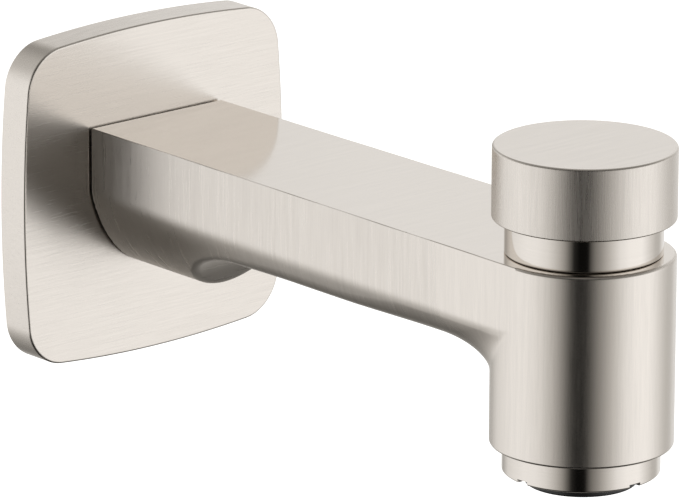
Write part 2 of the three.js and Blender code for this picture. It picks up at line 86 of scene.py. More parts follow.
# Rounds of the top edge along the arm and round the barrel, and the length of the change.
TOP_EDGE, RIM_EDGE, EDGE_FADE = 0.35, 0.8, 12.0
ROOT_EDGE, FOOT_EDGE, BORE_EDGE = 0.2, 0.6, 0.2
WATER_Z, WATER_HALF_X, WATER_HALF_Z = 2.1, 10.5, 4.5  # the waterway, an ellipse in section
SOCKET_R, SOCKET_END = 13.6, -29.0                    # the bore for the inlet adaptor
SCREW_Y = -16.0
SCREW_HOLE_R, SCREW_HOLE_LOW, SCREW_HOLE_HIGH, SCREW_HOLE_EDGE = 2.7, -30.0, -10.0, 0.25
BORES = [(13.6, 7.0, 30.0), (12.0, -7.2, 7.1), (9.6, -9.5, -7.0), (12.8, -16.5, -9.4),
         (14.2, -40.0, -16.4)]   # radius, bottom and top of each step of the valve's bore
SIDES = (17.2, 18.8)             # the arm's upright sides lie between these, left and right
PLATE_BOW, PLATE_CORNER, PLATE_WALL, PLATE_EDGE = 2.3, 25.5, 2.1, 0.45
PLATE_HOLE, PLATE_POCKET, PLATE_LEDGE = 14.0, 7.0, -3.2


# ---------- mesh helpers ----------
SHARP = math.radians(35)      # edges that turn by more than this stay sharp


def new_object(name, data):
    made = bpy.data.objects.new(name, data)
    bpy.context.scene.collection.objects.link(made)
    return made


def plain_mesh(name, vertices, faces):
    """A mesh from vertices in millimetres."""
    mesh = bpy.data.meshes.new(name)
    mesh.from_pydata([tuple(v) for v in np.asarray(vertices) * MM], [], faces)
    return mesh


def new_piece(name, vertices, faces, material):
    """A piece, smooth but for its sharp edges."""
    mesh = plain_mesh(name, vertices, faces)
    mesh.validate()
    mesh.polygons.foreach_set("use_smooth", [True] * len(mesh.polygons))
    mesh.set_sharp_from_angle(angle=SHARP)
    mesh.materials.append(material)
    return new_object(name, mesh)


def arc(centre, radius, start, end, steps):
    """Points (r, z) along an arc; the angles are in degrees."""
    angles = np.radians(np.linspace(start, end, steps + 1))
    return [(centre[0] + radius * math.cos(a), centre[1] + radius * math.sin(a)) for a in angles]


def with_support(profile, closed):
    """The same profile with a point close to both ends of each long side, so that the flat stays
    flat in shading right up to its edge."""
    near, least = 0.12, 0.9
    result = []
    count = len(profile)
    for i in range(count if closed else count - 1):
        a, b = np.array(profile[i]), np.array(profile[(i + 1) % count])
        result.append(tuple(a))
        length = np.linalg.norm(b - a)
        if length > least:
            result.append(tuple(a + (b - a) * near / length))
            result.append(tuple(b - (b - a) * near / length))
    if not closed:
        result.append(tuple(profile[-1]))
    return result


SMOOTH = 192      # segments of the largest turned pieces


def turned_mesh(profile, closed=True, segments=144):
    """Vertices and faces of a profile (r, z) turned about +Z. A closed profile makes a ring; an
    open one starts and ends on the axis."""
    profile = with_support(profile, closed)
    rings = profile if closed else profile[1:-1]
    angles = np.arange(segments) * 2 * math.pi / segments
    vertices = [(r * math.cos(a), r * math.sin(a), z) for r, z in rings for a in angles]
    faces = []
    for i in range(len(rings) if closed else len(rings) - 1):
        j = (i + 1) % len(rings)
        for k in range(segments):
            m = (k + 1) % segments
            faces.append((i * segments + k, i * segments + m, j * segments + m, j * segments + k))
    if not closed:
        for end, ring in ((profile[0], 0), (profile[-1], len(rings) - 1)):
            vertices.append((0, 0, end[1]))
            for k in range(segments):
                m = (k + 1) % segments
                pair = (ring * segments + k, ring * segments + m)
                faces.append((*(pair if ring else pair[::-1]), len(vertices) - 1))
    return np.array(vertices), faces


def turned(name, profile, material, closed=True, segments=144, y=None):
    """A turned piece about the barrel's axis, or about an upright axis at y, in millimetres."""
    vertices, faces = turned_mesh(profile, closed, segments)
    vertices[:, 1] += BARREL_Y if y is None else y
    return new_piece(name, vertices, faces, material)


def turned_along_y(name, profile, material):
    """The same about the spout's own direction: the profile's z is y."""
    vertices, faces = turned_mesh(profile)
    x, y, z = vertices.T
    return new_piece(name, np.stack([x, z, -y], axis=1), faces, material)


# ---------- distance fields for the casting ----------
def rounded_cut(a, b, radius):
    """The inside of both a and b, with the edge between them rounded."""
    corner = np.hypot(np.maximum(a + radius, 0), np.maximum(b + radius, 0))
    return np.minimum(np.maximum(a, b), -radius) + corner


def filleted_join(a, b, radius, cosine):
    """The inside of a or b, with a rolling-ball fillet between them. cosine is that of the angle
    between their normals."""
    u, w = radius - a, radius - b
    c = np.clip(cosine, 0, 0.98)
    between = (u > c * w) & (w > c * u) & (u > 0) & (w > 0)
    reach = np.sqrt(np.maximum(u * u + w * w - 2 * c * u * w, 0) / (1 - c * c))
    return np.where(between, radius - reach, np.minimum(a, b))


def rounded_corner(a, b, radius, cosine):
    """The inside of both a and b, with a rolling-ball round on the edge between them."""
    return -filleted_join(-a, -b, radius, cosine)


def root_section(x, z, half):
    """Distance to the arm's upright sides and the ellipse below them, and the upward part of its
    normal."""
    wide = half + BULGE
    down = np.minimum(z - UNDER_CENTRE, 0)
    scaled = np.maximum(np.hypot(x / wide, down / UNDER_DEPTH), 0.2)
    slope = np.maximum(np.hypot(x / wide**2, down / UNDER_DEPTH**2), 0.2 / wide)
    sideways, upward = np.abs(x) / wide**2 / slope, down / UNDER_DEPTH**2 / slope
    side_end = UNDER_CENTRE - UNDER_DEPTH * np.sqrt(1 - (half / wide)**2)
    tilt = np.clip((side_end + 1.5 - z) / 3, 0, 1)
    below = scaled * (scaled - 1) / slope
    distance = rounded_corner(np.abs(x) - half, below, SIDE_EDGE, sideways)
    return distance, upward * tilt


def undercut(y, z):
    """Distance into the hollow under the arm, and the upward part of its normal. The hollow ends
    behind the root in part of an ellipse."""
    along = np.maximum(y - UNDERCUT_END, 0)
    up = np.maximum(z - (UNDERCUT_ROOF - UNDERCUT_DROP), 0)
    scaled = np.maximum(np.hypot(along / UNDERCUT_REACH, up / UNDERCUT_DROP), 0.2)
    slope = np.hypot(along / UNDERCUT_REACH**2, up / UNDERCUT_DROP**2)
    slope = np.maximum(slope, 0.2 / UNDERCUT_REACH)
    level = (y < UNDERCUT_END) | (along + up == 0)
    inside = np.where(level, UNDERCUT_ROOF - z, scaled * (1 - scaled) / slope)
    return inside, np.where(level, -1.0, -up / UNDERCUT_DROP**2 / slope)


def bore(distance, low, high, along):
    """Distance to a hole that runs from low to high."""
    return np.maximum(distance, np.maximum(low - along, along - high))


def eased(first, last, part):
    """A smooth change from first, where part is 0, to last, where it is 1."""
    part = np.clip(part, 0, 1)
    return first + (last - first) * part * part * (3 - 2 * part)


def arm_alone(x, y, z):
    """Distance to the hollowed arm, without its top, its ends and the barrel."""
    half = ARM_HALF + (BARREL_R - ARM_HALF) * y / BARREL_Y
    section, upward = root_section(x, z, half)
    hollow, hollow_upward = undercut(y, z)
    edge = eased(LIP_EDGE, UNDERSIDE_EDGE, (LIP_END - y) / EDGE_CHANGE)
    edge = edge + eased(0, BARREL_EDGE - UNDERSIDE_EDGE, (UNDERSIDE_END - y) / EDGE_CHANGE)
    return rounded_corner(section, hollow, edge, upward * hollow_upward)


def casting(x, y, z):
    """Distance to the whole casting. The arm's field is stretched before the fillet joins it to
    the barrel, which makes the fillet an ellipse."""
    out = np.maximum(np.hypot(x, y - BARREL_Y), 1e-3)
    probe = 0.05
    dx, dy = probe * x / out, probe * (y - BARREL_Y) / out
    cosine = (arm_alone(x + dx, y + dy, z) - arm_alone(x - dx, y - dy, z)) / (2 * probe)
    radius = eased(0, FILLET_REACH, np.maximum((y - BARREL_Y) / FILLET_GROWTH, 0.05))
    stretched = arm_alone(x, y, z) * (FILLET_REACH / FILLET_DROP)
    body = filleted_join(stretched, out - BARREL_R, radius, cosine)
    body = np.where(y > BARREL_Y, body, out - BARREL_R)
    edge = eased(RIM_EDGE, TOP_EDGE, (y - BARREL_Y - BARREL_R) / EDGE_FADE)
    body = rounded_cut(body, z - ARM_TOP, edge)
    body = rounded_cut(body, y - ROOT_FACE, ROOT_EDGE)
    body = rounded_cut(body, BARREL_BOTTOM - z, FOOT_EDGE)
    for radius, low, high in BORES:
        body = rounded_cut(body, -bore(out - radius, low, high, z), BORE_EDGE)
    socket = np.hypot(x, z) - SOCKET_R
    body = rounded_cut(body, -bore(socket, SOCKET_END, 0, y), BORE_EDGE)
    water = (np.hypot(x / WATER_HALF_X, (z - WATER_Z) / WATER_HALF_Z) - 1) * WATER_HALF_Z
    body = rounded_cut(body, -bore(water, BARREL_Y, SOCKET_END + 1, y), BORE_EDGE)
    hole = bore(np.hypot(x, y - SCREW_Y) - SCREW_HOLE_R, SCREW_HOLE_LOW, SCREW_HOLE_HIGH, z)
    return rounded_cut(body, -hole, SCREW_HOLE_EDGE)


def gradient(field, p, h=0.02):
    """The field's slope at each point of p, by differences over h to each side."""
    g = np.empty_like(p)
    for axis in range(3):
        ahead, behind = p.copy(), p.copy()
        ahead[:, axis] += h
        behind[:, axis] -= h
        g[:, axis] = (field(*ahead.T) - field(*behind.T)) / (2 * h)
    return g


def grid_lines(low, high, step, *fine):
    """Grid lines from low to high, closer together inside each fine span."""
    closer = 0.35
    lines = [low]
    while lines[-1] < high:
        near = any(a <= lines[-1] <= b for a, b in fine)
        lines.append(lines[-1] + step * (closer if near else 1))
    return np.array(lines)


def surface_of(field, grid, step):
    """Vertices and quads of field = 0, one vertex for each grid cell that it crosses, moved onto
    the surface itself."""
    values = field(*np.meshgrid(*grid, indexing="ij"))
    shape = values.shape
    sums = np.zeros((np.prod(shape), 4))
    quads = []
    for axis in range(3):
        near = [slice(None)] * 3
        far = [slice(None)] * 3
        near[axis], far[axis] = slice(None, -1), slice(1, None)
        a, b = values[tuple(near)], values[tuple(far)]
        where = np.argwhere((a < 0) != (b < 0))
        at = tuple(where.T)
        points = where.astype(float)
        points[:, axis] += a[at] / (a[at] - b[at])
        one, two = [np.eye(3, dtype=int)[(axis + k) % 3] for k in (1, 2)]
        cells = [where, where - one, where - one - two, where - two]
        flat = [np.ravel_multi_index(tuple(c.T), shape) for c in cells]
        for index in flat:
            for k in range(3):
                sums[:, k] += np.bincount(index, points[:, k], len(sums))
            sums[:, 3] += np.bincount(index, minlength=len(sums))
        quad = np.stack(flat, axis=1)
        outward = a[at] < 0
        quad[~outward] = quad[~outward][:, ::-1]
        quads.append(quad)
    used = np.flatnonzero(sums[:, 3])
    number = np.full(len(sums), -1)
    number[used] = np.arange(len(used))
    middle = sums[used, :3] / sums[used, 3:]
    p = np.stack([np.interp(middle[:, k], np.arange(shape[k]), grid[k]) for k in range(3)], axis=1)
    for _ in range(5):        # each round brings the points closer to the surface
        g = gradient(field, p)
        move = field(*p.T)[:, None] * g / np.maximum((g * g).sum(1), 0.1)[:, None]
        p -= np.clip(move, -0.4 * step, 0.4 * step)
    return p, number[np.concatenate(quads)]


def smooth_spout(material):
    """The casting as one mesh, on a grid that is finer where its edges are sharpest."""
    step = 0.5
    past = 1.6                # the grid reaches this far past the casting
    (x0, y0, z0), (x1, y1, z1) = BODY_LOW - past, BODY_HIGH + past
    inward, outward = 1.2, 0.8
    foot = (BARREL_BOTTOM - outward, BARREL_BOTTOM + outward)
    grid = [grid_lines(x0, x1, step, (-SIDES[1], -SIDES[0]), SIDES),
            grid_lines(y0, y1, step, (ROOT_FACE - inward, ROOT_FACE + outward)),
            grid_lines(z0, z1, step, foot, (ARM_TOP - inward, ARM_TOP + outward))]
    vertices, quads = surface_of(casting, grid, step)
    mesh = bpy.data.meshes.new("spout")
    mesh.vertices.add(len(vertices))
    mesh.vertices.foreach_set("co", (vertices * MM).astype(np.float32).ravel())
    mesh.loops.add(quads.size)
    mesh.loops.foreach_set("vertex_index", quads.ravel().astype(np.int32))
    mesh.polygons.add(len(quads))
    mesh.polygons.foreach_set("loop_start", np.arange(0, quads.size, 4, dtype=np.int32))
    mesh.update(calc_edges=True)
    mesh.validate()
    mesh.polygons.foreach_set("use_smooth", [True] * len(mesh.polygons))
    normals = gradient(casting, vertices)
    normals /= np.linalg.norm(normals, axis=1)[:, None]
    mesh.normals_split_custom_set_from_vertices([tuple(n) for n in normals])
    mesh.materials.append(material)
    return new_object("spout", mesh)


# ---------- node helpers ----------
class Shader:
    """The nodes of a material or world being built."""

    def __init__(self, owner):
        owner.use_nodes = True
        self.owner = owner
        self.tree = owner.node_tree
        self.tree.nodes.clear()

    def node(self, kind, settings=None, **inputs):
        """A new node. An input is given by its name, or by its number as i0, i1 and so on."""
        made = self.tree.nodes.new("ShaderNode" + kind)
        for key, value in (settings or {}).items():
            setattr(made, key, value)
        for key, value in inputs.items():
            socket = made.inputs[int(key[1:]) if key[1:].isdigit() else key.replace("_", " ")]
            if isinstance(value, bpy.types.NodeSocket):
                self.tree.links.new(value, socket)
            else:
                socket.default_value = value
        return made

    def math(self, operation, a, b=0.0, c=0.0):
        made = self.node("Math", {"operation": operation}, i0=a, i1=b, i2=c)
        return made.outputs[0]

    def vector(self, operation, a, b=(0, 0, 0)):
        made = self.node("VectorMath", {"operation": operation}, i0=a, i1=b)
        return made.outputs[0]

    def spread(self, value, low, high, to_low, to_high, smooth=True):
        """The value mapped from low..high onto to_low..to_high, and held at both ends."""
        kind = "SMOOTHSTEP" if smooth else "LINEAR"
        made = self.node("MapRange", {"interpolation_type": kind}, i0=value, i1=low, i2=high,
                         i3=to_low, i4=to_high)
        return made.outputs[0]

    def noise(self, vector, scale=1.0, detail=2.0, roughness=0.55):
        made = self.node("TexNoise", Vector=vector, Scale=scale, Detail=detail,
                         Roughness=roughness)
        return made.outputs[0]

    def mix(self, factor, a, b):
        """The vector a where factor is 0 and b where it is 1. tint does so for colours, either
        for numbers."""
        made = self.node("Mix", {"data_type": "VECTOR"}, i0=factor, i4=a, i5=b)
        return made.outputs[1]

    def tint(self, factor, a, b):
        made = self.node("Mix", {"data_type": "RGBA"}, i0=factor, i6=a, i7=b)
        return made.outputs[2]

    def either(self, factor, a, b):
        made = self.node("Mix", {"data_type": "FLOAT"}, i0=factor, i2=a, i3=b)
        return made.outputs[0]

    def split(self, vector):
        made = self.node("SeparateXYZ", Vector=vector)
        return made.outputs[0], made.outputs[1], made.outputs[2]

    def point(self):
        """The point being shaded, in the piece's own coordinates, in metres."""
        return self.node("TexCoord").outputs["Object"]

    def finish(self, surface, kind="OutputMaterial"):
        """Joins the surface to the output and returns the material or world."""
        self.node(kind, Surface=surface.outputs[0])
        return self.owner


def new_shader(name):
    return Shader(bpy.data.materials.new(name))


def shade(color, factor):
    """The colour made darker or lighter, with an alpha of 1."""
    return tuple(min(1.0, c * factor) for c in color) + (1.0,)


# ---------- materials ----------
NICKEL = (0.79, 0.745, 0.695)
BRASS = (0.72, 0.55, 0.28)
STEEL = (0.6, 0.6, 0.6)
# How fast the marks change, per metre: along their length, and square to it on the knob's top, the
# plate's front and the sleeve (FINE), on the spout and the knob's side (COARSE), and on turned
# pieces (TURNED). THICKNESS is for the plate's thin sides.
ALONG, FINE, COARSE, TURNED, THICKNESS = 120.0, 6500.0, 3800.0, 9000.0, 2500.0
MARK_TINT = (0.968, 1.012)        # the colour's factors at the darkest and lightest marks
MARK_ROUGHNESS = (1.18, 0.85)     # the roughness's factors there
MARK_HEIGHT = 0.00005             # in metres, at full strength


def finish_metal(shader, marks, tangent, color, roughness, anisotropic, depth=0.06):
    """A metal with brush marks along one direction: they vary its colour, roughness and height."""
    fine = shader.noise(marks, detail=3.0, roughness=0.65)
    broad = shader.noise(shader.vector("MULTIPLY", marks, (0.35, 0.3, 0.35)), detail=2.0)
    cloud = shader.noise(shader.point(), scale=45.0, detail=3.0)
    level = shader.math("MULTIPLY", broad, 0.4)
    level = shader.math("ADD", shader.math("MULTIPLY", fine, 0.6), level)
    dark, light = [shade(color, factor) for factor in MARK_TINT]
    base = shader.tint(shader.spread(level, 0.3, 0.68, 0.0, 1.0), dark, light)
    rough = shader.math("MULTIPLY", shader.spread(level, 0.25, 0.75, *MARK_ROUGHNESS), roughness)
    rough = shader.math("ADD", rough, shader.spread(cloud, 0.3, 0.7, -0.006, 0.008))
    bump = shader.node("Bump", Strength=depth, Distance=MARK_HEIGHT, Height=fine)
    surface = shader.node("BsdfPrincipled", Base_Color=base, Metallic=1.0, Roughness=rough,
                          Anisotropic=anisotropic, Normal=bump.outputs[0], Tangent=tangent)
    return shader.finish(surface)


def in_world(shader, vector):
    """A direction in the piece's own coordinates, turned into the world's."""
    made = shader.node("VectorTransform", {"vector_type": "VECTOR", "convert_from": "OBJECT",
                                           "convert_to": "WORLD"}, i0=vector)
    return made.outputs[0]


def round_barrel(shader, place):
    """(angle round the barrel's axis, direction round it) at each point."""
    x, y, _ = shader.split(place)
    out = shader.math("SUBTRACT", y, float(BARREL_Y * MM))
    angle = shader.math("ARCTAN2", out, x)
    around = shader.node("CombineXYZ", X=shader.math("MULTIPLY", out, -1.0), Y=x)
    return angle, around.outputs[0]


def upright_marks(shader, angle, z, seed):
    """Marks up and down the barrel or the knob; seed sets one pattern apart from another."""
    across = shader.math("MULTIPLY", angle, COARSE * float(BARREL_R) * MM)
    made = shader.node("CombineXYZ", X=shader.math("MULTIPLY", z, ALONG), Y=across, Z=seed)
    return made.outputs[0]


def brushed_spout():
    """Marks run round the arm's section, straight across its top, and upright on the barrel."""
    shader = new_shader("spout_nickel")
    coordinates = shader.node("TexCoord")
    place, normal = coordinates.outputs["Object"], coordinates.outputs["Normal"]
    angle, around = round_barrel(shader, place)
    on_arm = shader.vector("MULTIPLY", place, (ALONG, COARSE, ALONG))
    _, y, z = shader.split(place)
    _, _, facing_up = shader.split(normal)
    side = shader.spread(shader.math("ABSOLUTE", facing_up), 0.35, 0.75, 1.0, 0.0)
    start = float(BARREL_Y + BARREL_R) * MM
    reach = shader.spread(y, start - 0.004, start + 0.012, 1.0, 0.0)
    barrel = shader.math("MULTIPLY", side, reach)
    on_barrel = shader.math("GREATER_THAN", barrel, 0.5)
    marks = shader.mix(on_barrel, on_arm, upright_marks(shader, angle, z, 3.0))
    tangent = shader.vector("NORMALIZE", shader.mix(on_barrel, (0, 1, 0), around))
    arm_rough, barrel_rough, top_rough = 0.3, 0.19, 0.07
    rough = shader.spread(barrel, 0.0, 1.0, arm_rough, barrel_rough)
    top = shader.spread(facing_up, 0.9, 0.99, 0.0, 1.0)    # 1 on faces that lie level
    smoother = shader.math("MULTIPLY", top, shader.math("SUBTRACT", top_rough, rough))
    rough = shader.math("ADD", rough, smoother)
    return finish_metal(shader, marks, tangent, NICKEL, rough, 0.7)


def brushed_straight(name, stretch, tangent, roughness=0.17, anisotropic=0.7, color=NICKEL):
    """Marks along one axis; stretch scales the place, and tangent is square to the marks."""
    shader = new_shader(name)
    marks = shader.vector("MULTIPLY", shader.point(), stretch)
    return finish_metal(shader, marks, in_world(shader, tangent), color, roughness, anisotropic)


def brushed_upright(name, roughness):
    """Marks up and down a turned side."""
    shader = new_shader(name)
    place = shader.point()
    angle, around = round_barrel(shader, place)
    _, _, z = shader.split(place)
    marks = upright_marks(shader, angle, z, 7.0)
    tangent = in_world(shader, shader.vector("NORMALIZE", around))
    return finish_metal(shader, marks, tangent, NICKEL, roughness, 0.7, 0.2)


def turned_metal(name, color=NICKEL, roughness=0.09, y=None):
    """Lathe marks round an upright axis, the barrel's or the one at y, in metres."""
    shader = new_shader(name)
    x, along, z = shader.split(shader.point())
    out = shader.math("SUBTRACT", along, float(BARREL_Y * MM) if y is None else y)
    radius = shader.math("SQRT", shader.math("ADD", shader.math("MULTIPLY", x, x),
                                             shader.math("MULTIPLY", out, out)))
    angle = shader.math("ARCTAN2", out, x)
    level = shader.math("MULTIPLY", shader.math("ADD", z, radius), TURNED)
    marks = shader.node("CombineXYZ", X=shader.math("MULTIPLY", angle, 1.2), Y=level, Z=1.0)
    tangent = in_world(shader, (0, 0, 1))
    return finish_metal(shader, marks.outputs[0], tangent, color, roughness, 0.5, 0.03)


def moulded(name, color, roughness, grain=900.0, depth=0.15, metallic=0.0, spread=0.12):
    """Plastic, rubber or plain metal with a fine moulded grain and soft colour variation."""
    shader = new_shader(name)
    place = shader.point()
    fine = shader.noise(place, scale=grain, detail=4.0)
    cloud = shader.noise(place, scale=70.0, detail=3.0)
    dark, light = shade(color, 1 - spread), shade(color, 1 + spread)
    base = shader.tint(shader.spread(cloud, 0.35, 0.65, 0.0, 1.0), dark, light)
    rough = shader.spread(fine, 0.3, 0.7, roughness * 0.85, min(1.0, roughness * 1.15))
    bump = shader.node("Bump", Strength=depth, Distance=0.00006, Height=fine)
    surface = shader.node("BsdfPrincipled", Base_Color=base, Metallic=metallic,
                          Roughness=rough, Normal=bump.outputs[0])
    return shader.finish(surface)


# ---------- camera ----------
def make_camera():
    """Looks at the object from the front left, a little above, with a long lens."""
    place = Vector((-1.0334, -1.2586, 0.465))
    ahead = Vector((0.6285, 0.7244, -0.2832)).normalized()
    roll = math.radians(0.28)
    level = ahead.cross(Vector((0, 0, 1))).normalized()
    up = level.cross(ahead)
    right = level * math.cos(roll) + up * math.sin(roll)
    up = up * math.cos(roll) - level * math.sin(roll)
    data = bpy.data.cameras.new("camera")
    data.sensor_width = 36.0
    data.lens = 423.6
    data.clip_end = 50.0
    camera = new_object("camera", data)
    turn = Matrix((right, up, -ahead)).transposed().to_4x4()
    camera.matrix_world = Matrix.Translation(place) @ turn
    bpy.context.scene.camera = camera


make_camera()


# ---------- pieces ----------
def plate_outline(count=48):
    """Points (x, z) round the plate: four slightly bowed sides joined by round corners. count is
    that of the points along one side."""
    half = np.array([PLATE_HIGH[0], PLATE_HIGH[2]])
    drop = PLATE_BOW * PLATE_CORNER**2 / half**2
    handle = (half[0] - drop[0] - PLATE_CORNER) * 0.52
    points = []
    for side in range(4):
        c, s = [(1, 0), (0, 1), (-1, 0), (0, -1)][side]
        h, d = half[side % 2], drop[side % 2]
        h2, d2 = half[(side + 1) % 2], drop[(side + 1) % 2]
        for t in np.linspace(-1, 1, count, endpoint=False):
            points.append((c * (h - d * t * t) - s * t * PLATE_CORNER,
                           s * (h - d * t * t) + c * t * PLATE_CORNER))
        lean = 2 * handle / PLATE_CORNER
        curve = np.array([(h - d, PLATE_CORNER), (h - d - d * lean, PLATE_CORNER + handle),
                          (PLATE_CORNER + handle, h2 - d2 - d2 * lean), (PLATE_CORNER, h2 - d2)])
        for t in np.linspace(0, 1, count // 2, endpoint=False):
            weights = np.array([(1 - t)**3, 3 * t * (1 - t)**2, 3 * t * t * (1 - t), t**3])
            x, z = weights @ curve
            points.append((c * x - s * z, s * x + c * z))
    return np.array(points)


def make_plate(material):
    """The wall plate: a rim on the wall, a ledge for the gasket, a hollow, and a round hole. Its
    rows of points run over the edge and the front, through the hole, and back in the hollow."""
    outline = plate_outline()
    ahead = np.roll(outline, -1, axis=0) - np.roll(outline, 1, axis=0)
    normal = np.stack([ahead[:, 1], -ahead[:, 0]], axis=1)
    normal /= np.linalg.norm(normal, axis=1)[:, None]
    front, back = PLATE_LOW[1], PLATE_HIGH[1]
    edge, back_edge, support = PLATE_EDGE, 0.25, 0.15
    levels = [(PLATE_WALL, back), (back_edge, back), (0.0, back - back_edge),
              (0.0, back - 2 * back_edge), (0.0, front + edge + support)]
    levels += [(edge - edge * math.cos(a), front + edge - edge * math.sin(a))
               for a in np.radians(np.linspace(0, 90, 7))]
    levels.append((edge + support, front))
    rows = [(outline - normal * inset, y) for inset, y in levels]
    inner = rows[-1][0]
    circle = inner / np.linalg.norm(inner, axis=1)[:, None] * PLATE_HOLE
    rows += [(inner + (circle - inner) * t, front) for t in np.linspace(0, 1, 14)[1:]]
    wall = front + PLATE_WALL
    rows.append((circle, wall))
    pocket = outline - normal * PLATE_POCKET
    ledge = outline - normal * PLATE_WALL
    rows += [(circle + (pocket - circle) * t, wall) for t in np.linspace(0, 1, 6)[1:]]
    rows += [(pocket, PLATE_LEDGE), (ledge, PLATE_LEDGE)]
    count = len(outline)
    vertices = np.concatenate([np.column_stack([p[:, 0], np.full(count, y), p[:, 1]])
                               for p, y in rows])
    faces = []
    for i in range(len(rows)):
        j = (i + 1) % len(rows)
        for k in range(count):
            m = (k + 1) % count
            faces.append((i * count + k, j * count + k, j * count + m, i * count + m))
    return new_piece("plate", vertices, faces, material)


def make_cap(side, top):
    """The knob: a cap that is hollow below, with one metal on its side and one on its top."""
    low, high = KNOB_LOW[2], KNOB_HIGH[2]
    edge, low_edge, inner, roof = 0.55, 0.35, 16.4, high - 2.0
    profile = [(0, roof), (inner, roof), (inner, low + 0.2), (inner + 0.2, low)]
    profile += arc((BARREL_R - low_edge, low + low_edge), low_edge, -90, 0, 5)
    profile += arc((BARREL_R - edge, high - edge), edge, 0, 90, 8)
    profile.append((0, high))
    cap = turned("knob_cap", profile, side, closed=False, segments=SMOOTH)
    cap.data.materials.append(top)
    for face in cap.data.polygons:
        upward = face.normal.z > 0.85
        face.material_index = int(upward)
    return cap


def make_neck(material):
    """The bonnet: thread and cylinder below, the neck that shows, and its seal grooves."""
    low, high, out = NECK_LOW[2], NECK_HIGH[2], NECK_HIGH[0]
    thread, inner, stem, roof = 13.3, 10.5, 3.3, 27.6
    groove, groove_low, groove_high = 12.2, 13.2, 14.9
    stem_groove, stem_groove_low, stem_groove_high = 4.5, 28.8, 30.8
    seat = ARM_TOP + 0.1
    seat_edge, top_edge = 0.25, 0.4
    profile = [(inner, low), (thread, low), (thread, groove_low), (groove, groove_low),
               (groove, groove_high), (thread, groove_high), (thread, seat)]
    profile += arc((out - seat_edge, seat + seat_edge), seat_edge, -90, 0, 4)
    profile += arc((out - top_edge, high - top_edge), top_edge, 0, 90, 4)
    profile += [(stem, high), (stem, stem_groove_high), (stem_groove, stem_groove_high),
                (stem_groove, stem_groove_low), (stem, stem_groove_low), (stem, roof),
                (inner, roof)]
    return turned("neck", profile, material, segments=SMOOTH)


def box_mesh(name, low, high):
    """A plain block, used only to cut with."""
    (x0, y0, z0), (x1, y1, z1) = low, high
    vertices = [(x, y, z) for x in (x0, x1) for y in (y0, y1) for z in (z0, z1)]
    faces = [(0, 1, 3, 2), (4, 6, 7, 5), (0, 4, 5, 1), (2, 3, 7, 6), (0, 2, 6, 4), (1, 5, 7, 3)]
    return new_object(name, plain_mesh(name, vertices, faces))


def cut(piece, tools):
    """Takes the tools' shapes out of the piece and deletes the tools."""
    for tool in tools:
        modifier = piece.modifiers.new("cut", "BOOLEAN")
        modifier.object = tool
        modifier.operation = "DIFFERENCE"
        modifier.solver = "EXACT"
    bpy.context.view_layer.update()
    result = bpy.data.meshes.new_from_object(
        piece.evaluated_get(bpy.context.evaluated_depsgraph_get()))
    piece.modifiers.clear()
    piece.data = result
    result.set_sharp_from_angle(angle=SHARP)
    for tool in tools:
        bpy.data.objects.remove(tool)


def make_collar(material):
    """The aerator's housing: thread above, the collar that shows, and four key slots below."""
    low, high, out = COLLAR_LOW[2], COLLAR_HIGH[2], COLLAR_HIGH[0]
    seat = BARREL_BOTTOM - 0.1
    thread, inner, lip, shoulder = 14.0, 12.6, 11.7, -27.1
    seat_edge, low_edge = 0.2, 0.4
    slots, slot_start, slot_half, slot_depth = 4, 13.0, 1.45, 0.8    # slot_half is half the width
    profile = [(inner, high), (thread, high), (thread, seat)]
    profile += arc((out - seat_edge, seat - seat_edge), seat_edge, 90, 0, 3)
    profile += arc((out - low_edge, low + low_edge), low_edge, 0, -90, 6)
    profile += [(lip + 0.2, low), (lip, low + 0.2), (lip, shoulder), (inner, shoulder)]
    collar = turned("aerator_collar", profile, material, segments=SMOOTH)
    blocks = []
    for turn in range(slots):
        block = box_mesh("slot", (slot_start, -slot_half, low - 1),
                         (out + 1, slot_half, low + slot_depth))
        block.data.transform(Matrix.Rotation(turn * 2 * math.pi / slots, 4, "Z"))
        block.data.transform(Matrix.Translation((0, BARREL_Y * MM, 0)))
        blocks.append(block)
    cut(collar, blocks)
    return collar


def make_insert(material):
    """The aerator's cartridge: a tube with a flange above."""
    low, high = INSERT_LOW[2], INSERT_HIGH[2]
    inner, bevel, outer, flange, flange_low, edge = 9.8, 10.1, 11.4, 12.4, -27.0, 0.4
    profile = [(inner, low + 0.3), (bevel, low)]
    profile += arc((outer - edge, low + edge), edge, -90, 0, 4)
    profile += [(outer, flange_low), (flange, flange_low), (flange, high), (inner, high)]
    return turned("aerator_insert", profile, material)


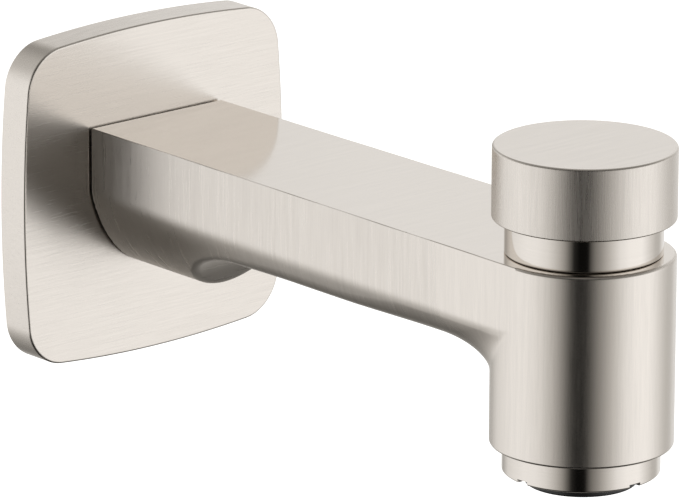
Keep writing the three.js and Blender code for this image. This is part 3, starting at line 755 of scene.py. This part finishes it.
def make_flow_grid(material):
    """Honeycomb that straightens the water: a disc of small six-sided cells in a thin rim."""
    low, high = (edge[2] for edge in edges("flow_straightener"))
    pitch, wall, rim, rim_wall, rows = 1.9, 0.32, 9.55, 0.9, 6
    vertices, faces = [], []

    def ring(outer, inner):
        start, n = len(vertices), len(outer)
        for points, z in ((outer, low), (inner, low), (inner, high), (outer, high)):
            vertices.extend((x, y + BARREL_Y, z) for x, y in points)
        for i in range(4):
            j = (i + 1) % 4
            for k in range(n):
                m = (k + 1) % n
                faces.append((start + i * n + k, start + j * n + k,
                              start + j * n + m, start + i * n + m))

    corners = [(math.cos(a), math.sin(a)) for a in np.radians(np.arange(30, 390, 60))]
    reach = pitch / math.sqrt(3)
    for row in range(-rows, rows + 1):
        for column in range(-rows, rows + 1):
            x = (column + (row % 2) / 2) * pitch
            y = row * pitch * math.sqrt(3) / 2
            if math.hypot(x, y) > rim - 0.45 * pitch:
                continue
            outer = [(x + c * reach, y + s * reach) for c, s in corners]
            inner = [(x + c * (reach - wall), y + s * (reach - wall)) for c, s in corners]
            ring(outer, inner)
    circle = np.linspace(0, 2 * math.pi, 72, endpoint=False)
    ring(*([(r * math.cos(a), r * math.sin(a)) for a in circle] for r in (rim, rim - rim_wall)))
    return new_piece("flow_grid", np.array(vertices), faces, material)


def make_spring(material):
    """A coil of round wire, whose first and last half turns rise less than the rest."""
    wire, radius, turns, around, steps = 0.5, 7.5, 5.0, 10, 180
    share = 0.7               # of the rise is made by the turns between alone
    low, high = SPRING_LOW[2] + wire, SPRING_HIGH[2] - wire
    vertices = []
    for i in range(steps + 1):
        t = i / steps
        angle = 2 * math.pi * turns * t
        lead = 0.5 / turns
        part = min(1, max(0, (t - lead) / (1 - 2 * lead)))
        middle = low + (high - low) * (share * part + (1 - share) * t)
        for k in range(around):
            a = 2 * math.pi * k / around
            r = radius + wire * math.cos(a)
            z = middle + wire * math.sin(a)
            vertices.append((r * math.cos(angle), BARREL_Y + r * math.sin(angle), z))
    faces = []
    for i in range(steps):
        for k in range(around):
            m = (k + 1) % around
            near, far = i * around, (i + 1) * around
            faces.append((near + k, near + m, far + m, far + k))
    faces.append(tuple(range(around))[::-1])
    faces.append(tuple(steps * around + k for k in range(around)))
    return new_piece("coil_spring", np.array(vertices), faces, material)


def make_sleeve(material):
    """Inlet adaptor with its pipe thread, the screw's groove and two seal grooves."""
    back, front, out = SLEEVE_HIGH[1], SLEEVE_LOW[1], SLEEVE_HIGH[0]
    thread, bore_r, thread_end, pitch, height = 10.3, 6.5, -15.0, 1.81, 0.85
    seals, seal_floor, screw_floor = (-24.4, -20.6), 12.1, 11.6
    profile = [(bore_r, front + 0.3), (bore_r + 0.3, front), (out - 0.6, front), (out, front + 0.6)]
    for y in seals:
        profile += [(out, y - 1), (seal_floor, y - 1), (seal_floor, y + 1), (out, y + 1)]
    profile += [(out, SCREW_Y - 2.6), (screw_floor, SCREW_Y - 1.2), (screw_floor, SCREW_Y + 1.2),
                (out, SCREW_Y + 2.6), (out, back - 0.3), (out - 0.3, back),
                (thread + 0.9, back), (thread + 0.3, back - 0.8)]
    y = back - 1.2
    while y - pitch > thread_end + 0.6:
        profile += [(thread, y), (thread, y - pitch * 0.15), (thread + height, y - pitch * 0.5),
                    (thread, y - pitch * 0.85)]
        y -= pitch
    profile += [(thread, thread_end), (bore_r, thread_end)]
    return turned_along_y("pipe_sleeve", profile, material)


def make_screw(material):
    """Grub screw with a hexagon socket, seen from below the root."""
    low, high = (edge[2] for edge in edges("set_screw"))
    radius, root, pitch, apex, key, key_depth = 2.4, 2.05, 0.8, 0.9, 2.5, 1.8
    profile = [(0, low), (root, low), (radius, low + 0.3)]
    z = low + 0.3
    while z + pitch < high - 1.5:
        profile += [(root, z + pitch * 0.5), (radius, z + pitch)]
        z += pitch
    profile += [(apex, high), (0, high)]
    screw = turned("grub_screw", profile, material, closed=False, segments=72, y=SCREW_Y)
    reach = key / math.sqrt(3)
    corners = [(reach * math.cos(a), reach * math.sin(a)) for a in np.radians(np.arange(0, 360, 60))]
    vertices = [(x, y + SCREW_Y, z) for z in (low - 1, low + key_depth) for x, y in corners]
    faces = [(5, 4, 3, 2, 1, 0), (6, 7, 8, 9, 10, 11)]
    faces += [(k, (k + 1) % 6, (k + 1) % 6 + 6, k + 6) for k in range(6)]
    cut(screw, [new_object("hexagon", plain_mesh("hexagon", vertices, faces))])
    return screw


def make_centring_ring(material):
    """A plain ring with broken edges, about the pipe's axis."""
    (_, low, _), (outer, high, _) = edges("centering_ring")
    inner, edge = 13.6, 0.25
    profile = [(inner + edge, low), (outer - edge, low), (outer, low + edge), (outer, high - edge),
               (outer - edge, high), (inner + edge, high), (inner, high - edge), (inner, low + edge)]
    return turned_along_y("plate_centring_ring", profile, material)


def place(piece, body, slot, *nodes):
    """Has the piece ride on a body and stand for the CAD nodes that it replaces."""
    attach(piece, body)
    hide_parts(*nodes)
    return piece


spout_metal = brushed_spout()
plate_metal = brushed_straight("plate_nickel", (ALONG, THICKNESS, FINE), (0, 0, 1), 0.25)
cap_top_metal = brushed_straight("cap_top_nickel", (ALONG, FINE, FINE), (0, 1, 0))
cap_side_metal = brushed_upright("cap_side_nickel", 0.27)
neck_metal = turned_metal("neck_nickel")
collar_metal = turned_metal("collar_nickel", roughness=0.12)
sleeve_brass = brushed_straight("sleeve_brass", (ALONG, FINE, ALONG), (0, 1, 0), 0.25, 0.4, BRASS)
turned_brass = turned_metal("turned_brass", BRASS, 0.25)
turned_steel = turned_metal("turned_steel", STEEL, 0.25)
screw_steel = turned_metal("screw_steel", STEEL, 0.3, y=SCREW_Y * MM)
spring_steel = moulded("spring_steel", STEEL, 0.28, metallic=1.0, spread=0.06)
rubber = moulded("black_rubber", (0.018, 0.018, 0.019), 0.65)
foam = moulded("black_foam", (0.03, 0.03, 0.032), 0.95, grain=2500.0, depth=0.6)
black_plastic = moulded("black_plastic", (0.006, 0.006, 0.0065), 0.3)
white_plastic = moulded("white_plastic", (0.78, 0.76, 0.71), 0.4, spread=0.04)

place(smooth_spout(spout_metal), "spout", "brushed_nickel", "spout_body")
place(make_plate(plate_metal), "spout", "brushed_nickel", "wall_plate")
place(make_cap(cap_side_metal, cap_top_metal), "knob", "brushed_nickel", "pull_knob")
place(make_neck(neck_metal), "spout", "turned_nickel", "diverter_bonnet")
place(make_collar(collar_metal), "spout", "turned_nickel", "aerator_housing")
place(make_insert(black_plastic), "spout", "black_plastic", "aerator_cartridge")
place(make_flow_grid(black_plastic), "spout", "black_plastic", "flow_straightener")
place(make_sleeve(sleeve_brass), "spout", "brass", "inlet_adaptor")
place(make_screw(screw_steel), "spout", "stainless_steel", "set_screw")
place(make_centring_ring(white_plastic), "spout", "white_plastic", "centering_ring")
spring = place(make_spring(spring_steel), "spout", "stainless_steel", "return_spring")
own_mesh(spring)

# CAD nodes whose shape is right keep it and get their material here.
CARRIED = {
    "wall_gasket": foam, "root_seal": rubber, "adaptor_o_ring_inner": rubber,
    "adaptor_o_ring_outer": rubber, "bonnet_o_ring": rubber, "stem_o_ring": rubber,
    "piston_seal": rubber, "valve_washer": rubber, "aerator_seal": rubber,
    "spring_washer": turned_steel, "piston_clip_lower": turned_steel,
    "piston_clip_upper": turned_steel, "valve_nut": turned_steel, "aerator_screen": turned_steel,
    "seat_ring": turned_brass, "diverter_stem": turned_brass, "valve_collar": turned_brass,
    "valve_disc": turned_brass, "knob_insert": turned_brass, "piston": white_plastic,
    "flow_regulator": white_plastic,
}
for name, material in CARRIED.items():
    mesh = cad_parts[name].data
    mesh.materials.clear()
    mesh.materials.append(material)


# ---------- studio ----------
def make_floor():
    """A large pale floor well below the spout."""
    size, level = 14.0, -4.0
    corners = [(-size, -size, level), (size, -size, level), (size, size, level), (-size, size, level)]
    mesh = bpy.data.meshes.new("floor")
    mesh.from_pydata(corners, [], [(0, 1, 2, 3)])
    shader = new_shader("floor_paint")
    surface = shader.node("BsdfDiffuse", Color=(0.93, 0.93, 0.93, 1.0))
    glow = shader.node("Emission", Color=(1, 1, 1, 1), Strength=1.0)
    both = shader.node("AddShader", i0=surface.outputs[0], i1=glow.outputs[0])
    mesh.materials.append(shader.finish(both))
    floor = new_object("floor", mesh)
    floor.visible_glossy = False


# Light round the room, by the angle in degrees from straight in front of the corner between
# the spout's side and its tip.
ROUND_THE_ROOM = [
    (-180, 0.86), (-168, 0.66), (-156, 0.44), (-146, 0.60), (-134, 0.82), (-116, 0.93), (-92, 1.02),
    (-72, 1.0), (-55, 0.87), (-45, 0.70), (-37, 0.54), (-29, 0.35), (-22, 0.15), (-16, 0.02),
    (-8, 0.004), (2, 0.005), (5, 0.01), (9, 0.10), (15, 0.22), (23, 0.34), (37, 0.63), (52, 0.95),
    (68, 1.10), (90, 1.12), (110, 0.80), (124, 0.60), (136, 0.58), (150, 0.86), (180, 0.88),
]
CORNER_BEARING = -130.9       # of straight in front, in degrees from +X towards +Y


def make_surroundings():
    """A soft white room, with a dark gap between the lights in front, a floor that dims steeply
    below, and a ceiling that dims above. The dark parts are warmer than the light ones."""
    world = bpy.data.worlds.new("studio")
    bpy.context.scene.world = world
    shader = Shader(world)
    direction = shader.node("TexCoord").outputs["Generated"]
    x, y, z = shader.split(direction)
    bearing = shader.math("MULTIPLY", shader.math("ARCTAN2", y, x), 180 / math.pi)
    turned_by = shader.math("ADD", bearing, -CORNER_BEARING)
    turned_by = shader.math("WRAP", turned_by, 180.0, -180.0)
    ramp = shader.node("ValToRGB", Fac=shader.spread(turned_by, -180, 180, 0, 1, False))
    stops = ramp.color_ramp.elements
    while len(stops) < len(ROUND_THE_ROOM):
        stops.new(1.0)
    for stop, (angle, light) in zip(stops, ROUND_THE_ROOM):
        stop.position = (angle + 180) / 360
        stop.color = (light, light, light, 1.0)
    away = shader.math("ABSOLUTE", turned_by)
    in_front = shader.spread(away, 95.0, 125.0, 1.0, 0.0)
    floor_in_front = shader.spread(z, -0.70, -0.41, 0.03, 1.0)
    floor_behind = shader.spread(z, -0.82, -0.34, 0.16, 1.0)
    ceiling_in_front = shader.spread(z, 0.20, 0.64, 1.0, 0.2)
    ceiling_behind = shader.spread(z, 0.33, 0.80, 1.0, 0.45)
    height = shader.math("MULTIPLY", shader.either(in_front, floor_behind, floor_in_front),
                         shader.either(in_front, ceiling_behind, ceiling_in_front))
    # Near straight up and straight down, the dark gap fills in.
    steep = shader.spread(shader.math("ABSOLUTE", z), 0.7, 0.93, 0.0, 0.8)
    around = shader.math("MAXIMUM", ramp.outputs[0], steep)
    level = shader.math("MULTIPLY", around, height)
    white_backdrop = shader.node("LightPath").outputs["Is Camera Ray"]
    strength = shader.either(white_backdrop, level, 1.0)
    warmth = shader.tint(strength, (1.0, 0.955, 0.88, 1.0), (1.0, 0.995, 0.988, 1.0))
    background = shader.node("Background", Color=warmth, Strength=strength)
    shader.finish(background, "OutputWorld")


make_floor()
make_surroundings()
bpy.context.scene.view_settings.view_transform = "Standard"
